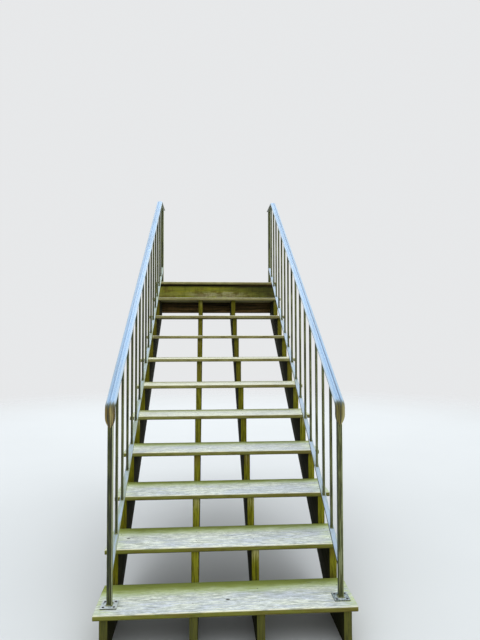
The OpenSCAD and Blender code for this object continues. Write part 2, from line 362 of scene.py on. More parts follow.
def stringer_material():
    """Rough treated timber: green where it looks out, with painted shade, near black, on its sides under
    the flight.
    """
    s = Shader("stringer_timber")
    place = s.place()
    across, _, height = s.axes(place)
    normal = s.normal()
    front = s.span(s.times(normal[1], -1.0), 0.45, 0.75)
    up = s.span(normal[2], 0.45, 0.75)
    outer = s.span(s.times(s.math("SIGN", across), normal[0]), 0.5, 0.8)
    outer = s.times(outer, s.span(s.unsigned(across), *OUTER_FACE_AT))
    streak = s.noise(s.stretch(place, (120.0, 3.0, 120.0), (-SLOPE, 0, 0)), detail=5, rough=0.6, twist=0.3)
    patch = s.noise(s.stretch(place, (9.0, 5.0, 5.0)), detail=4, rough=0.6)
    runs = s.noise(s.stretch(place, (160.0, 40.0, 9.0)), detail=4, rough=0.65)
    grit = s.noise(s.stretch(place, (500.0, 500.0, 90.0)), detail=2)
    bald = s.noise(s.stretch(place, (5.0, 2.6, 2.6)), detail=1)
    tone = s.attribute("tone")

    # Sides: painted shade, dark under the flight; greyer and grown over on the two outer faces
    side = s.mix(s.span(streak, 0.42, 0.64), SIDE_BROWN, SIDE_DARK)
    outside = s.mix(s.span(streak, 0.40, 0.66), SIDE_OUTER, CUT_OLIVE)
    growth = s.times(s.span(patch, 0.40, 0.74), s.span(runs, 0.60, 0.42, 0.2, 0.6))
    outside = s.mix(growth, outside, CUT_LIGHT)
    side = s.mix(outer, side, outside)

    # Cuts that face the front: green with dark runs, browner and darker further up, with less algae and
    # painted shade
    face = s.mix(tone, CUT_LIGHT, CUT_OLIVE)
    face = s.mix(s.part(runs, 0.47, 0.60, 0.80), face, EDGE_DARK)
    face = s.mix(s.part(runs, 0.45, 0.34, 0.85), face, CUT_LIGHT)
    face = s.mix(s.part(patch, 0.48, 0.66, 0.55), face, CUT_BROWN)
    face = s.mix(s.part(height, -1.2, -0.3, 0.45), face, TIMBER_HIGH_SHADED)

    # Bare and shaded patches just below each tread, and mud splashed on the feet; under_tread goes
    # from 0 to 1 between the undersides of two treads
    under_tread = s.math("FRACT", s.math("DIVIDE", s.minus(height, FIRST[0].z - RISE), RISE))
    bare = s.times(s.span(under_tread, 0.50, 0.92), s.span(bald, 0.52, 0.64))
    bare = s.times(bare, s.span(runs, 0.56, 0.40))
    face = s.mix(s.times(bare, 0.75), face, TIMBER_BARE)
    shade = s.times(s.span(under_tread, 0.78, 0.94), s.span(height, -0.85, -0.50, 0.0, 0.7))
    face = s.mix(shade, face, EDGE_DARK)
    face = s.mix(s.part(height, -1.62, -1.69, 0.7), face, TIMBER_SPLASH)

    colour = s.mix(front, side, face)
    colour = s.mix(s.times(up, 0.7), colour, CUT_LIGHT)
    relief = s.plus(s.times(runs, -0.8), s.times(streak, -0.8))
    relief = s.plus(relief, s.times(grit, -0.3))
    return s.finish(Base_Color=colour, Roughness=s.span(streak, 0.3, 0.7, 0.78, 0.96),
                    Specular_IOR_Level=0.05, Normal=s.bump(relief, 1.0 * MM, 0.7))


def plank_material(name, light, dark, weather, shade_from, shade_to, shade_right):
    """Timber across the flight: pale where rain splashes, darker on the right, with painted shade further
    up.

    The painted shade grows between the two heights, and shade_right is its share at the right end.
    """
    s = Shader(name)
    place = s.place()
    along, _, height = s.axes(place)
    streak = s.noise(s.stretch(place, (4.0, 90.0, 110.0)), detail=5, rough=0.65, twist=0.4)
    runs = s.noise(s.stretch(place, (55.0, 12.0, 12.0)), detail=4, rough=0.65)
    hair = s.noise(s.stretch(place, (14.0, 400.0, 420.0)), detail=3, rough=0.6)
    patch = s.noise(s.stretch(place, (9.0, 26.0, 28.0)), detail=4, rough=0.65)
    colour = s.mix(s.span(streak, 0.40, 0.62), light, dark)

    # Splashed band over the top tread, then stains, and darkening towards the right end and the top, part
    # damp stain and part painted shade
    low = s.plus(height, s.swing(patch, 0.08))
    middle = s.times(s.span(low, 0.005, 0.030), s.span(low, 0.075, 0.045))
    beside = s.times(s.span(along, -0.34, -0.12, 0.15, 1.0), s.span(along, 0.38, 0.12, 0.1, 1.0))
    pale = s.times(s.times(middle, beside), s.span(streak, 0.64, 0.44, 0.3, 1.0))
    colour = s.mix(s.times(pale, weather), colour, RISER_PALE)
    colour = s.mix(s.part(patch, 0.48, 0.62, 0.6), colour, CUT_BROWN)
    colour = s.mix(s.part(runs, 0.46, 0.66, 0.35), colour, EDGE_DARK)
    colour = s.mix(s.part(hair, 0.55, 0.72, 0.45), colour, SIDE_DARK)
    damp_and_shade = s.plus(along, s.times(s.minus(low, 0.05), 3.0))
    colour = s.mix(s.times(s.span(damp_and_shade, 0.05, 0.62), 0.85 * weather), colour, SIDE_DARK)

    # Backs and ends stay dull, and only the front gets the painted shade
    front = s.span(s.normal()[1], -0.3, -0.7)
    colour = s.mix(s.span(front, 0.0, 1.0, 0.55, 0.0), colour, dark)
    shade = s.span(height, shade_from, shade_to)
    shade = s.times(shade, s.span(along, 0.1, 0.4, 0.85, shade_right))
    shade = s.times(shade, front)
    colour = s.mix(shade, colour, DEEP_SHADE)

    relief = s.plus(s.times(streak, -0.8), s.times(hair, -0.5))
    return s.finish(Base_Color=colour, Roughness=s.span(streak, 0.3, 0.7, 0.78, 0.95),
                    Specular_IOR_Level=0.2, Normal=s.bump(relief, 1.0 * MM, 0.7))


def paint_material(name, sky, other_sky, patch_scale, lean, coat):
    """Paint on steel: painted sky reflection where it faces up, painted light on faces to the right and
    painted shade on faces to the left, rust in a few pits.

    The painted sky reflection has patches of the other tone, more of them to one side by the lean.
    """
    s = Shader(name)
    place = s.place()
    across = s.axes(place)[0]
    right, forth, up = s.normal()
    cloud = s.noise(s.stretch(place, (9.0, 5.0, 5.0)), detail=1)
    patch = s.noise(s.stretch(place, patch_scale), detail=4, rough=0.65)
    streak = s.noise(s.stretch(place, (150.0, 150.0, 8.0)), detail=4, rough=0.6)
    pits = s.noise(s.stretch(place, (240.0, 240.0, 240.0)), detail=2)

    # Body: bronze and worn streaks, painted shade on faces to the left, painted light on faces to the right
    # and painted highlights on right-hand corners
    worn = s.plus(streak, s.span(across, -0.3, 0.3, 0.0, 0.09))
    body = s.mix(s.span(worn, 0.42, 0.60), PAINT, PAINT_BRONZE)
    body = s.mix(s.part(worn, 0.60, 0.72, 0.7), body, PAINT_WORN)
    body = s.mix(s.part(right, -0.25, -0.80, 0.8), body, PAINT_SHADED)
    bleached = s.times(s.span(right, 0.45, 0.90), s.span(streak, 0.62, 0.38, 0.6, 1.0))
    body = s.mix(bleached, body, PAINT_LIT_RIGHT)
    corner = s.span(s.unsigned(s.times(right, forth)), 0.12, 0.40)
    corner = s.times(corner, s.span(right, 0.2, 0.5))
    body = s.mix(s.times(corner, s.span(streak, 0.66, 0.44, 0.2, 0.9)), body, PAINT_CORNER_HIGHLIGHT)

    # Painted sky reflection on what faces up, and rust in the pits
    uneven = s.span(s.plus(patch, s.times(across, lean)), 0.42, 0.62)
    sky = s.mix(uneven, sky, other_sky)
    painted_sky_light = s.times(s.span(up, 0.04, 0.50), s.span(cloud, 0.30, 0.70, 0.72, 0.86))
    colour = s.mix(painted_sky_light, body, sky)
    rusty = s.times(s.span(pits, 0.69, 0.75), s.span(cloud, 0.52, 0.66))
    colour = s.mix(rusty, colour, RUST)
    rough = s.span(cloud, 0.3, 0.7, 0.42, 0.54)
    return s.finish(Base_Color=colour, Roughness=rough, Specular_IOR_Level=0.35, Coat_Weight=coat,
                    Coat_Roughness=0.2, Normal=s.bump(s.span(pits, 0.64, 0.76), 0.04 * MM, 0.25))


def cap_material():
    """Paint of the cap rails: painted blue sky reflection on the slope, running out in streaks over the
    bend.
    """
    s = Shader("cap_paint")
    place = s.place()
    up = s.normal()[2]
    tilt = s.attribute("tilt")
    across = s.attribute("across")
    cloud = s.noise(s.stretch(place, (9.0, 5.0, 5.0)), detail=1)
    streak = s.noise(s.stretch(place, (190.0, 7.0, 7.0)), detail=3, rough=0.6)

    # Tongues: a lit ridge between dim hollows, at other places across on the left and the right rail
    groove = s.span(s.unsigned(s.minus(across, 0.30)), 0.19, 0.08)
    side = s.math("SIGN", s.axes(place)[0])
    lit_at = s.plus(s.times(side, 0.46), 0.19)
    dim_at = s.plus(s.times(side, -0.13), 0.23)
    ridge = s.span(s.unsigned(s.minus(across, lit_at)), 0.36, 0.16)
    hollow = s.span(s.unsigned(s.minus(across, dim_at)), 0.24, 0.08)
    hollow = s.greater(hollow, s.span(across, -0.66, -0.90))
    bronze = s.mix(s.span(side, -0.5, 0.5), CAP_BRONZE, CAP_OLIVE)
    body = s.mix(s.span(streak, 0.36, 0.54), CAP_DARK, bronze)
    least_lit = s.span(side, -0.5, 0.5, 0.12, 0.60)
    ridge = s.times(ridge, s.span(streak, 0.42, 0.56, least_lit, 0.80))
    body = s.mix(ridge, body, CAP_CREAM)
    body = s.mix(s.times(hollow, 0.85), body, CAP_DARK)

    # Painted sky reflection on the slope: painted highlights at the edges, painted shade in the groove,
    # running out in streaks over the bend
    run_out = s.plus(tilt, s.swing(streak, 0.9))
    run_out = s.plus(run_out, s.times(groove, 0.10))
    body = s.mix(s.span(run_out, 0.10, 0.42, 0.0, 0.7), body, CAP_GREY)
    painted_sky_light = s.times(s.span(run_out, 0.38, 0.72), s.span(up, 0.0, 0.12))
    painted_sky_light = s.times(painted_sky_light, s.span(cloud, 0.30, 0.70, 0.76, 0.86))
    groove_shade = s.span(s.axes(place)[0], -0.3, 0.3, 0.40, 0.85)
    sky = s.mix(s.times(groove, groove_shade), CAP_SKY, CAP_SKY_DEEP)
    sky = s.mix(s.times(s.span(s.unsigned(across), 0.58, 0.86), 0.9), sky, CAP_EDGE_HIGHLIGHT)
    colour = s.mix(painted_sky_light, body, sky)
    rough = s.span(cloud, 0.3, 0.7, 0.36, 0.46)
    return s.finish(Base_Color=colour, Roughness=rough, Coat_Weight=0.15, Coat_Roughness=0.25,
                    Normal=s.bump(streak, 0.05 * MM, 0.2))


def fastener_material():
    """Dark zinc and rust of the screws and nails."""
    s = Shader("fastener_steel")
    grit = s.noise(s.stretch(s.place(), (300.0, 300.0, 300.0)), detail=3)
    colour = s.mix(s.span(grit, 0.48, 0.70), ZINC, RUST)
    return s.finish(Base_Color=colour, Metallic=0.5, Roughness=s.span(grit, 0.3, 0.7, 0.4, 0.7),
                    Normal=s.bump(grit, 0.2 * MM, 0.6))


# Mesh building

SAME_POINT = 0.01 * MM
FLAT_ANGLE = math.radians(1)
SHARP_ANGLE = math.radians(25)


def add_object(name, mesh, angle=None):
    """Puts a mesh into the scene, smooth where its faces meet at less than that angle in degrees."""
    if angle is not None:
        mesh.shade_smooth()
        mesh.set_sharp_from_angle(angle=math.radians(angle))
    piece = bpy.data.objects.new(name, mesh)
    bpy.context.scene.collection.objects.link(piece)
    return piece


def new_object(name, verts, faces, angle=None):
    """Object with a new mesh from points and faces."""
    mesh = bpy.data.meshes.new(name)
    mesh.from_pydata(verts, [], faces)
    mesh.validate()
    return add_object(name, mesh, angle)


def face_outwards(piece):
    """Turns all faces outwards and splits the many-sided end faces."""
    bm = bmesh.new()
    bm.from_mesh(piece.data)
    bmesh.ops.recalc_face_normals(bm, faces=bm.faces)
    bmesh.ops.triangulate(bm, faces=[f for f in bm.faces if len(f.verts) > 4])
    bm.to_mesh(piece.data)
    bm.free()
    return piece


def eased_copy(node, name, width):
    """Copy of a CAD node with its edges eased to that width."""
    bm = bmesh.new()
    bm.from_mesh(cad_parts[node].data)
    bmesh.ops.remove_doubles(bm, verts=bm.verts, dist=SAME_POINT)
    bmesh.ops.dissolve_limit(bm, angle_limit=FLAT_ANGLE, verts=bm.verts, edges=bm.edges)
    sharp = [e for e in bm.edges if len(e.link_faces) == 2 and e.calc_face_angle() > SHARP_ANGLE]
    bmesh.ops.bevel(bm, geom=sharp, offset=width, segments=2, affect="EDGES",
                    profile=0.5, clamp_overlap=True)
    mesh = bpy.data.meshes.new(name)
    bm.to_mesh(mesh)
    bm.free()
    return add_object(name, mesh, angle=40)


def dress(piece, material, slot, *nodes):
    """Gives a piece its material and its body, and hides the nodes that it stands for; slot is not used."""
    piece.data.materials.clear()
    piece.data.materials.append(material)
    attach(piece, "root")
    if nodes:
        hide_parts(*nodes)


def repaint(node, look):
    """Gives a CAD node that stays as it is its material."""
    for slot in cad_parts[node].material_slots:
        slot.material = look


class Pile:
    """Collects the points and faces of many small forms that make one piece."""

    def __init__(self):
        self.verts = []
        self.faces = []

    def rings(self, rings, first_cap=True, last_cap=True):
        """Skin over closed rings of equal length, each counterclockwise seen from the last one."""
        start, size = len(self.verts), len(rings[0])
        for ring in rings:
            self.verts += ring
        for i in range(len(rings) - 1):
            for j in range(size):
                a, b = start + i * size + j, start + i * size + (j + 1) % size
                self.faces.append((a, b, b + size, a + size))
        if first_cap:
            self.faces.append(tuple(start + j for j in reversed(range(size))))
        if last_cap:
            last = start + (len(rings) - 1) * size
            self.faces.append(tuple(last + j for j in range(size)))

    def piece(self, name, angle=40):
        """One object from all that was collected."""
        return new_object(name, self.verts, self.faces, angle)


def middle_x(node):
    """Middle of a CAD node across the flight."""
    return sum(corner.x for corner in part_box(node)) / 2


# Fasteners and welds

# Heads: the profile is pairs of a share of the radius and a height in mm; nails by distance from the nosing
HEAD_SIDES = 12
HEAD_PROFILE = ((1.0, -1.5), (1.0, 0.1), (0.93, 0.45), (0.72, 0.8), (0.42, 0.95), (0.36, 0.3))
PLATE_SCREW_R = 6 * MM
PLATE_SCREW_INSET = 13 * MM
NAIL_R = 3.2 * MM
NAIL_BACKS = (82 * MM, 206 * MM)
WHOLE_TURN = 6.28

# Welds: steps of a quarter round, chance in size, how deep their feet sit, and the sizes of each kind
WELD_ARC = 3
WELD_UNEVEN = 0.35
BAR_CORNER = 0.8 * MM
BEAD_SINK = 0.2 * MM
SEAM_SINK = 0.3 * MM
SEAM_STEPS = 10
FOOT_WELD = 4 * MM
BALUSTER_WELD = 2.5 * MM
RAIL_WELD = 3 * MM
SAME_LINE = 0.1 * MM


def screw_head(pile, x, y, z, radius, turn, tall):
    """Domed head with a socket, seated in the surface below it."""
    angles = [turn + 2 * math.pi * k / HEAD_SIDES for k in range(HEAD_SIDES)]
    pile.rings([[(x + radius * share * math.cos(angle), y + radius * share * math.sin(angle),
                  z + lift * tall * MM) for angle in angles]
                for share, lift in HEAD_PROFILE], first_cap=False)


def plate_screws(side, plate):
    """Four screws near the corners of a foot plate."""
    low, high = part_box(f"{side}_{plate}")
    pile = Pile()
    for x in (low.x + PLATE_SCREW_INSET, high.x - PLATE_SCREW_INSET):
        for y in (low.y + PLATE_SCREW_INSET, high.y - PLATE_SCREW_INSET):
            screw_head(pile, x, y, high.z, PLATE_SCREW_R, x * 90 + y * 70, tall=1.8)
    return pile.piece(f"{side}_{plate}_screws")


def tread_nails():
    """Two nails through each tread into each stringer."""
    rng = random.Random(5)
    pile = Pile()
    for node in TREADS:
        low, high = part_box(node)
        for stringer in STRINGERS:
            for back in NAIL_BACKS:
                x = middle_x(stringer) + rng.uniform(-5, 5) * MM
                y = low.y + back + rng.uniform(-6, 6) * MM
                screw_head(pile, x, y, high.z, NAIL_R, rng.uniform(0, WHOLE_TURN), tall=0.8)
    return pile.piece("tread_nails")


def uneven(size, *place):
    """Size of a weld at a place, up to about a third more or less."""
    return size * (1 + WELD_UNEVEN * noise.noise(Vector(place)))


def bar_outline(x, y, half):
    """Points round a square bar with round corners, counterclockwise from above."""
    points = []
    for quadrant, (sx, sy) in enumerate(((1, 1), (-1, 1), (-1, -1), (1, -1))):
        for k in range(WELD_ARC + 1):
            angle = math.pi / 2 * (quadrant + k / WELD_ARC)
            points.append((x + sx * (half - BAR_CORNER) + BAR_CORNER * math.cos(angle),
                           y + sy * (half - BAR_CORNER) + BAR_CORNER * math.sin(angle)))
    return points


def weld_bead(pile, x, y, half, plane, size, seed, side=1):
    """Uneven fillet round a square bar, on top of a face for side +1 and below it for side -1.

    plane gives the height of that face at a y.
    """
    around = []
    for k, (px, py) in enumerate(bar_outline(x, y, half)):
        around.append((px - x, py - y, uneven(size, k * 0.9, seed * 1.7, 0.5)))
    rings = []
    for k in range(WELD_ARC + 1):
        angle = math.pi / 2 * k / WELD_ARC
        ring = []
        for dx, dy, swell in around:
            out = 1 + swell * math.cos(angle) / half
            px, py = x + dx * out, y + dy * out
            ring.append((px, py, plane(py) + side * (swell * math.sin(angle) - BEAD_SINK)))
        rings.append(ring)
    pile.rings(rings if side > 0 else rings[::-1], first_cap=False, last_cap=False)


def foot_weld(side, part, plate):
    """Bead where a post stands on its foot plate."""
    low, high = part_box(f"{side}_{part}")
    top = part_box(f"{side}_{plate}")[1].z
    pile = Pile()
    weld_bead(pile, (low.x + high.x) / 2, (low.y + high.y) / 2, (high.x - low.x) / 2,
              lambda y: top, FOOT_WELD, seed=3)
    return pile.piece(f"{side}_{part}_weld", angle=60)


def baluster_welds(side):
    """Beads where the balusters stand on the bottom rail and meet the channel under the cap."""
    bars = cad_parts[f"{side}_balusters"].data.vertices
    places = sorted({round(v.co.y, 4) for v in bars})
    x = middle_x(f"{side}_balusters")
    pile = Pile()
    for n, (front, back) in enumerate(zip(places[0::2], places[1::2])):
        for end, pick in ((1, min), (-1, max)):
            at_front, at_back = (pick(v.co.z for v in bars if abs(v.co.y - y) < SAME_LINE)
                                 for y in (front, back))
            grade = (at_back - at_front) / (back - front)
            weld_bead(pile, x, (front + back) / 2, (back - front) / 2,
                      lambda y: at_front + grade * (y - front), BALUSTER_WELD, n + 20 * end, end)
    return pile.piece(f"{side}_baluster_welds", angle=60)


def weld_seam(pile, start, end, away, grade, side, seed):
    """Fillet across a rail that runs into a post; away is the way off the post, side +1 is on top."""
    rings = []
    for k in range(SEAM_STEPS + 1):
        root = start.lerp(end, k / SEAM_STEPS)
        swell = uneven(RAIL_WELD, k * 0.8, seed * 2.3, 0.2)
        if k in (0, SEAM_STEPS):
            swell *= 0.5
        ring = [(root.x, root.y - away * SEAM_SINK, root.z - side * SEAM_SINK)]
        for j in range(WELD_ARC + 1):
            angle = math.pi / 2 * j / WELD_ARC
            out = away * swell * math.cos(angle)
            ring.append((root.x, root.y + out, root.z + grade * out + side * swell * math.sin(angle)))
        rings.append(ring)
    pile.rings(rings)


def rail_welds(side):
    """Seams where the bottom rail and the channel under the cap run into the two posts."""
    pile = Pile()
    for n, (rail, face, pick) in enumerate((("bottom_rail", 1, max), ("top_channel", -1, min))):
        low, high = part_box(f"{side}_{rail}")
        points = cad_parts[f"{side}_{rail}"].data.vertices
        for y, away in ((low.y, 1), (high.y, -1)):
            z = pick(v.co.z for v in points if abs(v.co.y - y) < SAME_LINE)
            level = rail == "top_channel" and away < 0
            grade = 0.0 if level else math.tan(SLOPE)
            weld_seam(pile, Vector((low.x + MM, y, z)), Vector((high.x - MM, y, z)),
                      away, grade, face, seed=2 * n + away)
    return face_outwards(pile.piece(f"{side}_rail_welds", angle=60))


# Boards

# Rounding of the front and back edges and, by distance from the end, of the ends; spacing of points
EDGE_R = 5 * MM
BACK_R = 2 * MM
NEAR_EDGE = EDGE_R * 1.01
TOP_PITCH = 6 * MM
STATION_PITCH = 12 * MM
END_ROUND = ((0.0, 1.2 * MM), (0.8 * MM, 0.35 * MM), (2.0 * MM, 0.0))

# Cracks, wear and waviness; the front has room to wave without leaving the CAD box
CRACK_GAP = 12 * MM
CRACK_HALF = 0.7 * MM
CRACK_WANDER = 1.6 * MM
FRONT_WEAR = 1.1 * MM
WEAR_REACH = 9 * MM
TOP_WAVE = 0.35 * MM
FRONT_WAVE = 0.5 * MM
FRONT_ROOM = 0.2 * MM

# Metres from one board to the next in the timber that their grain comes from
GRAIN_SHIFT = 3.1


def quarter(centre_y, centre_z, radius, start, count):
    """Points of a quarter round, going towards smaller angles."""
    return [(centre_y + radius * math.cos(start - k * math.pi / 2 / count),
             centre_z + radius * math.sin(start - k * math.pi / 2 / count)) for k in range(count + 1)]


def drying_cracks(rng, depth, length, count):
    """Cracks, front to back: place across the board, start, end, depth and phase."""
    cracks = []
    while len(cracks) < count:
        across = rng.uniform(0.08, 0.92) * depth
        if all(abs(across - crack[0]) > CRACK_GAP for crack in cracks):
            size = rng.uniform(0.08, 0.36) * length
            start = rng.choice((0.0, length - size, rng.uniform(0, length - size)))
            deep = rng.uniform(1.2, 2.6) * MM
            cracks.append((across, start, start + size, deep, rng.uniform(0, WHOLE_TURN)))
    return sorted(cracks)


def crack_depth(crack, along):
    """How deep a crack is at a place along the board."""
    _, start, end, deep, _ = crack
    t = (along - start) / (end - start)
    return deep * math.sqrt(max(0.0, math.sin(math.pi * min(max(t, 0.0), 1.0))))


def board_section(low, high, cracks):
    """Points round a board's section as (y, z, crack, flank): flank 0 is the bottom of that crack."""
    depth = high.y - low.y
    mid_z = (low.z + high.z) / 2
    rows = []
    across = EDGE_R + TOP_PITCH
    while across < depth - BACK_R - TOP_PITCH / 2:
        if all(abs(across - crack[0]) > TOP_PITCH * 0.55 for crack in cracks):
            rows.append((across, None, 0))
        across += TOP_PITCH
    for crack in cracks:
        rows += [(crack[0] + side * CRACK_HALF, crack, abs(side)) for side in (-1, 0, 1)]
    rows.sort(key=lambda row: row[0])
    top = [(low.y + across, high.z, crack, flank) for across, crack, flank in rows]
    rest = quarter(high.y - BACK_R, high.z - BACK_R, BACK_R, math.pi / 2, 2)
    rest.append((high.y, mid_z))
    rest += quarter(high.y - BACK_R, low.z + BACK_R, BACK_R, 0.0, 2)
    rest += [(high.y - k * depth / 8, low.z) for k in range(1, 8)]
    rest += quarter(low.y + EDGE_R, low.z + EDGE_R, EDGE_R, -math.pi / 2, 4)
    rest.append((low.y, mid_z))
    rest += quarter(low.y + EDGE_R, high.z - EDGE_R, EDGE_R, math.pi, 4)
    return top + [(y, z, None, 0) for y, z in rest]


def board(name, node, seed, cracks=7, knots=()):
    """Board with worn edges, drying cracks and a slight cup, in the place of a CAD board."""
    rng = random.Random(seed)
    low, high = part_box(node)
    depth, length, thick = high.y - low.y, high.x - low.x, high.z - low.z
    mid_y, mid_z = (low.y + high.y) / 2, (low.z + high.z) / 2
    section = board_section(low, high, drying_cracks(rng, depth, length, cracks))
    cup = rng.uniform(-0.8, 0.5) * MM

    count = round(length / STATION_PITCH)
    stations = list(END_ROUND)
    stations += [(length * k / count, 0.0) for k in range(1, count)]
    stations += [(length - along, inset) for along, inset in reversed(END_ROUND)]

    verts = []
    for along, inset in stations:
        x = low.x + along
        for y, z, crack, flank in section:
            back = y - low.y
            lift = 0.0
            if z - low.z > thick - NEAR_EDGE:
                share = 2 * back / depth - 1
                lift += cup * (1 - share * share)
                wear = noise.noise(Vector((x * 6 + seed, 0.3, seed))) * 0.5 + 0.5
                lift -= FRONT_WEAR * wear * math.exp(-back / WEAR_REACH)
                lift += TOP_WAVE * noise.noise(Vector((x * 3, back * 30, seed + 9.0)))
            if back < NEAR_EDGE:
                upper = z > low.z + thick / 2
                shift = FRONT_WAVE * noise.noise(Vector((x * 9, 7.7, seed + upper)))
                y = y + max(shift, -FRONT_ROOM) + FRONT_ROOM
            if crack:
                y += CRACK_WANDER * math.sin(7 * along + crack[4])
                if flank == 0:
                    lift -= crack_depth(crack, along)
            if inset:
                y -= math.copysign(min(inset, abs(y - mid_y)), y - mid_y)
                z -= math.copysign(min(inset, abs(z - mid_z)), z - mid_z)
            verts.append((x, y, z + lift))

    size = len(section)
    faces = []
    for i in range(len(stations) - 1):
        for j in range(size):
            a, b = i * size + j, i * size + (j + 1) % size
            faces.append((a, a + size, b + size, b))
    last = (len(stations) - 1) * size
    faces.append(tuple(range(size)))
    faces.append(tuple(last + j for j in reversed(range(size))))
    piece = face_outwards(new_object(name, verts, faces, angle=50))
    paint_board(piece, low, high, seed, knots)
    return piece


def paint_board(piece, low, high, seed, knots):
    """Writes what the board material reads: grain coordinates, zones on the board, way to a knot.

    Zones run from 0 to 1 front to back and top to bottom, and from -1 to 1 along the board.
    """
    rng = random.Random(100 + seed)
    mesh = piece.data
    co = np.zeros(len(mesh.vertices) * 3)
    mesh.vertices.foreach_get("co", co)
    co = co.reshape(-1, 3)
    size = high - low
    pith = low.y + rng.uniform(0.25, 0.75) * size.y
    pith_drop = rng.uniform(0.06, 0.14)
    tilt = rng.choice((-1, 1)) * rng.uniform(0.02, 0.06)
    grain = np.stack([co[:, 0] + GRAIN_SHIFT * seed, co[:, 1] - pith,
                      co[:, 2] - low.z + pith_drop + tilt * co[:, 0]], axis=1)
    zones = np.stack([(co[:, 1] - low.y) / size.y, (high.z - co[:, 2]) / size.z,
                      2 * (co[:, 0] - low.x) / size.x - 1], axis=1)
    far = np.full((len(co), 3), 1.0)
    for along, across in knots:
        away = co - np.array([low.x + along, low.y + across, high.z])
        nearer = np.linalg.norm(away, axis=1) < np.linalg.norm(far, axis=1)
        far[nearer] = away[nearer]
    for key, data in (("grain", grain), ("zones", zones), ("knot_at", far)):
        layer = mesh.attributes.new(key, "FLOAT_VECTOR", "POINT")
        layer.data.foreach_set("vector", data.astype(np.float32).ravel())


# Cap rails

# Section: width, thickness, height of the edges, their rounding, and the coves beside the crown
CAP_W = 48 * MM
CAP_T = 13 * MM
CAP_EDGE = 6 * MM
CAP_EASE = 1.2 * MM
CAP_SHOULDER = 0.9 * MM
COVE_AT = 7.5 * MM
COVE_R = 4 * MM
COVE_LIFT = 0.8 * MM
COVE_SOFT = 0.5 * MM
TOP_POINTS = 64

# Run of the lower end: bend, and the tongue with its pointed part and thin tip
BEND_R = 30 * MM
BEND_STEPS = 12
TONGUE_LEN = 86 * MM
TONGUE_POINT = 56 * MM
TONGUE_TIP = 4 * MM
TONGUE_STEPS = 20
TIP_WIDTH = 0.06
SLOPE_START_MM = 30
BEND_TILT = 0.66


def cap_profile():
    """Section of the cap rail as points (across, up), counterclockwise from the lower left."""
    half = CAP_W / 2
    crown_r = (half ** 2 + (CAP_T - CAP_EDGE) ** 2) / (2 * (CAP_T - CAP_EDGE))

    def height(u):
        """Crown with a cove on each side of its middle, run together softly."""
        crown = CAP_T - crown_r + math.sqrt(crown_r ** 2 - u * u)
        for centre in (-COVE_AT, COVE_AT):
            if abs(u - centre) < COVE_R:
                cove = CAP_T + COVE_LIFT - math.sqrt(COVE_R ** 2 - (u - centre) ** 2)
                blend = max(COVE_SOFT - abs(crown - cove), 0) / COVE_SOFT
                crown = min(crown, cove) - blend * blend * COVE_SOFT / 4
        return crown

    pitch = (2 * half - 2 * CAP_SHOULDER) / TOP_POINTS
    side = [(half - 0.3 * CAP_EASE, 0.3 * CAP_EASE), (half, CAP_EASE),
            (half, CAP_EDGE - CAP_SHOULDER), (half - 0.3 * MM, CAP_EDGE - 0.2 * MM)]
    points = [(-half + CAP_EASE, 0.0), (half - CAP_EASE, 0.0)] + side
    points += [(u, height(u)) for u in (half - CAP_SHOULDER - k * pitch for k in range(TOP_POINTS + 1))]
    return points + [(-u, v) for u, v in reversed(side)]


def cap_stations(side):
    """Stations along a cap rail: origin, way out of it, width, thickness and tilt of the paint.

    Level stretch, knee, slope, bend and a tongue that thins to a point. Origins and ways are (y, z).
    """
    low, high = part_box(f"{side}_cap_rail")
    level = high.z - CAP_T
    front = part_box(f"{side}_newel")[0].y
    bend = Vector((front + BEND_R, low.z + TONGUE_LEN))
    along = Vector((math.cos(SLOPE), math.sin(SLOPE)))
    up = Vector((-math.sin(SLOPE), math.cos(SLOPE)))
    root = bend + BEND_R * up
    knee = root + along * ((level - root.y) / along.y)
    bisector = Vector((-math.sin(SLOPE / 2), math.cos(SLOPE / 2))) / math.cos(SLOPE / 2)

    stations = [(Vector((high.y, level)), Vector((0, 1)), 1.0, 1.0, 1.0),
                (knee, bisector, 1.0, 1.0, 1.0), (root + along * SLOPE_START_MM * MM, up, 1.0, 1.0, up.y)]
    for k in range(BEND_STEPS + 1):
        angle = math.pi / 2 + SLOPE + (math.pi / 2 - SLOPE) * k / BEND_STEPS
        out = Vector((math.cos(angle), math.sin(angle)))
        stations.append((bend + BEND_R * out, out, 1.0, 1.0, BEND_TILT * out.y))
    arc_r = (TONGUE_POINT ** 2 + (CAP_W / 2) ** 2) / CAP_W
    for k in range(1, TONGUE_STEPS + 1):
        down = TONGUE_LEN * (1 - (1 - k / TONGUE_STEPS) ** 1.4)
        past = max(0.0, down - (TONGUE_LEN - TONGUE_POINT))
        half = math.sqrt(max(arc_r ** 2 - past ** 2, 0)) - arc_r + CAP_W / 2
        wide = max(half / (CAP_W / 2), TIP_WIDTH)
        thin = 1 - (1 - TONGUE_TIP / CAP_T) * (past / TONGUE_POINT) ** 1.2
        stations.append((Vector((front, bend.y - down)), Vector((-1, 0)), wide, thin, 0.0))
    return stations


def cap_rail(side):
    """Moulded cap rail, with the tilt and the place across that its paint reads."""
    x = middle_x(f"{side}_newel")
    profile = cap_profile()
    rings, tilts, places = [], [], []
    for origin, out, wide, thin, tilt in cap_stations(side):
        points = [origin + out * (v * thin) for _, v in profile]
        rings.append([(x + u * wide, point.x, point.y) for (u, _), point in zip(profile, points)])
        tilts += [tilt] * len(profile)
        places += [SIDE_SIGN[side] * u / (CAP_W / 2) for u, _ in profile]
    pile = Pile()
    pile.rings(rings)
    piece = face_outwards(pile.piece(f"{side}_moulded_cap", angle=38))
    for key, values in (("tilt", tilts), ("across", places)):
        piece.data.attributes.new(key, "FLOAT", "POINT").data.foreach_set("value", values)
    return piece


# Build

board_look = board_material()
stringer_look = stringer_material()
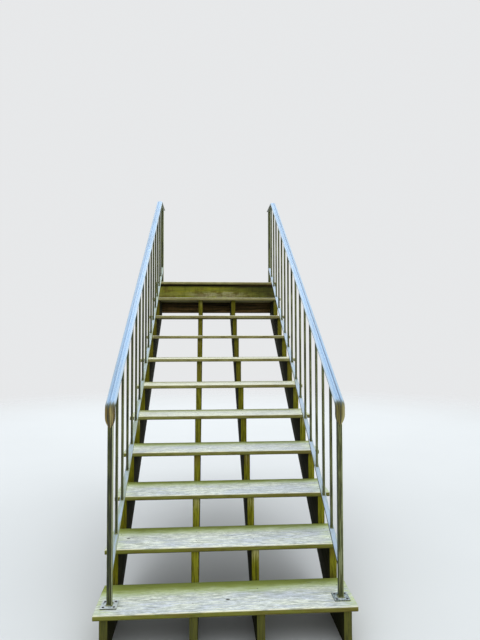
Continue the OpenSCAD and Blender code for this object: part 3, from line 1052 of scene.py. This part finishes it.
# Painted shade: a dark seam along the top of the riser's front, and dark over the upper front of the header
riser_look = plank_material("riser_timber", CUT_LIGHT, EDGE_OLIVE, weather=0.9,
                            shade_from=0.106, shade_to=0.128, shade_right=0.85)
header_look = plank_material("header_timber", HEADER_BROWN, SIDE_BROWN, weather=0.0,
                             shade_from=-0.135, shade_to=-0.045, shade_right=0.45)
rail_look = paint_material("rail_paint", RAIL_SKY, RAIL_PALE, (60.0, 7.0, 7.0), lean=-0.12, coat=0.05)
weld_look = paint_material("weld_paint", PAINT_WORN, PAINT_BRONZE, (90.0, 90.0, 90.0), lean=0.0, coat=0.05)
cap_look = cap_material()
plate_look = paint_material("plate_paint", PLATE_SKY, PLATE_DULL, (55.0, 55.0, 55.0), lean=0.12, coat=0.1)
fastener_look = fastener_material()

# Knots by tread, as places along and across it; share of olive in the stringers' cuts; eased widths
KNOTS = {1: [(0.615, 0.105)], 2: [(0.098, 0.140)]}
STRINGER_TONES = dict(zip(STRINGERS, (0.9, 0.1, 0.7, 0.25)))
TIMBER_EASE = 1.5 * MM
STEEL_EASE = 0.9 * MM
PLATE_EASE = 0.8 * MM

for n, node in enumerate(TREADS, start=1):
    dress(board(f"board_{n}", node, n, knots=KNOTS.get(n, ())), board_look, "tread_wood", node)
dress(board("board_landing", "landing_board", 21, cracks=4), board_look, "tread_wood", "landing_board")

for node, tone in STRINGER_TONES.items():
    piece = eased_copy(node, f"{node}_timber", TIMBER_EASE)
    layer = piece.data.attributes.new("tone", "FLOAT", "POINT")
    layer.data.foreach_set("value", [tone] * len(piece.data.vertices))
    dress(piece, stringer_look, "stringer_wood", node)
dress(eased_copy("riser_board", "riser_timber", TIMBER_EASE), riser_look, "edge_wood", "riser_board")
dress(eased_copy("header_board", "header_timber", TIMBER_EASE), header_look, "edge_wood", "header_board")

for side in SIDES:
    dress(cap_rail(side), cap_look, "cap_steel", f"{side}_cap_rail")
    for part in ("newel", "top_post"):
        plate = f"{part}_plate"
        node = f"{side}_{plate}"
        repaint(f"{side}_{part}", rail_look)
        dress(eased_copy(node, f"{node}_steel", PLATE_EASE), plate_look, "rail_steel", node)
        dress(plate_screws(side, plate), fastener_look, "rail_steel")
        dress(foot_weld(side, part, plate), weld_look, "rail_steel")
    for part in ("top_channel", "bottom_rail", "balusters"):
        node = f"{side}_{part}"
        dress(eased_copy(node, f"{node}_steel", STEEL_EASE), rail_look, "rail_steel", node)
    dress(baluster_welds(side), weld_look, "rail_steel")
    dress(rail_welds(side), weld_look, "rail_steel")
dress(tread_nails(), fastener_look, "tread_wood")


# Stage

# Camera fitted to the photograph
CAMERA_AT = Vector((-0.0926, -5.160, -0.392))
CAMERA_YAW = math.radians(3.70)
CAMERA_PITCH = math.radians(1.98)
CAMERA_ROLL = math.radians(0.13)
FOCAL_PX = 507
IMAGE_LONG_PX = 640
SENSOR_MM = 36

# Floor, background and light
FLOOR_TONES = ((0.60, 0.61, 0.61, 1.0), (0.63, 0.64, 0.64, 1.0))
FLOOR_REACH = 40.0
FLOOR_FADE_FROM = 4.5
FLOOR_FADE_TO = 10.0
BACKGROUND = (0.80, 0.81, 0.82, 1.0)
DOME_COLOUR = (0.93, 0.97, 1.0, 1.0)
DOME_OVERHEAD = 1.15
LAMP_AT = (0.0, 4.5, 12.0)
LAMP_SIZE = (11.0, 13.0)
LAMP_WATTS = 1150.0
LAMP_COLOUR = (0.92, 0.96, 1.0)


def add_camera():
    """Camera at the photograph's place, upright but for a small roll."""
    data = bpy.data.cameras.new("camera")
    data.sensor_fit = "AUTO"
    data.sensor_width = SENSOR_MM
    data.lens = SENSOR_MM * FOCAL_PX / IMAGE_LONG_PX
    camera = bpy.data.objects.new("camera", data)
    turn = (Matrix.Rotation(-CAMERA_YAW, 4, "Z") @ Matrix.Rotation(math.pi / 2 + CAMERA_PITCH, 4, "X")
            @ Matrix.Rotation(-CAMERA_ROLL, 4, "Z"))
    camera.matrix_world = Matrix.Translation(CAMERA_AT) @ turn
    bpy.context.scene.collection.objects.link(camera)
    bpy.context.scene.camera = camera


def floor_material():
    """Plain pale floor that fades into the background."""
    s = Shader("floor")
    place = s.place()
    mottle = s.noise(s.stretch(place, (0.8, 0.8, 0.8)), detail=2)
    s.finish(Base_Color=s.mix(mottle, *FLOOR_TONES), Roughness=0.9)
    fade = s.span(s.vector("LENGTH", place, out=1), FLOOR_FADE_FROM, FLOOR_FADE_TO)
    clear = s.add("BsdfTransparent")
    shown = s.add("MixShader", {0: fade, 1: s.bsdf.outputs[0], 2: clear})
    s.feed(s.tree.nodes["Material Output"].inputs["Surface"], shown)
    return s.material


def add_floor():
    """Level floor at the stringers' feet."""
    corners = ((-1, -1), (1, -1), (1, 1), (-1, 1))
    verts = [(FLOOR_REACH * x, FLOOR_REACH * y, GROUND) for x, y in corners]
    floor = new_object("floor", verts, [(0, 1, 2, 3)])
    floor.data.materials.append(floor_material())


def add_world():
    """Soft dome, brighter overhead, behind and on the right, seen as a plain pale background."""
    world = bpy.data.worlds.new("world")
    bpy.context.scene.world = world
    world.use_nodes = True
    sky = Nodes(world.node_tree)
    right, behind, height = sky.axes(sky.add("TexCoord", out="Generated"))
    low_sky = sky.plus(sky.span(behind, -0.1, 0.9, 0.24, 0.75), sky.span(right, 0.2, 1.0, 0.0, 0.9))
    strength = sky.add("Mix", {0: sky.span(height, 0.15, 0.75), 2: low_sky, 3: DOME_OVERHEAD})
    dome = sky.tree.nodes["Background"]
    sky.feed(dome.inputs["Color"], DOME_COLOUR)
    sky.feed(dome.inputs["Strength"], strength)
    rays = sky.tree.nodes.new("ShaderNodeLightPath").outputs
    mirrored = sky.greater(rays["Is Camera Ray"], rays["Is Glossy Ray"])
    seen = sky.greater(mirrored, rays["Is Transmission Ray"])
    pale = sky.add("Background", {"Color": BACKGROUND})
    shown = sky.add("MixShader", {0: seen, 1: dome.outputs[0], 2: pale})
    sky.feed(sky.tree.nodes["World Output"].inputs["Surface"], shown)


def add_lamp():
    """Level soft lamp that shines straight down on the flight."""
    data = bpy.data.lights.new("sky_box", "AREA")
    data.shape = "RECTANGLE"
    data.size, data.size_y = LAMP_SIZE
    data.energy = LAMP_WATTS
    data.color = LAMP_COLOUR
    lamp = bpy.data.objects.new("sky_box", data)
    lamp.location = LAMP_AT
    bpy.context.scene.collection.objects.link(lamp)


add_camera()
add_floor()
add_world()
add_lamp()
bpy.context.scene.view_settings.view_transform = "Standard"
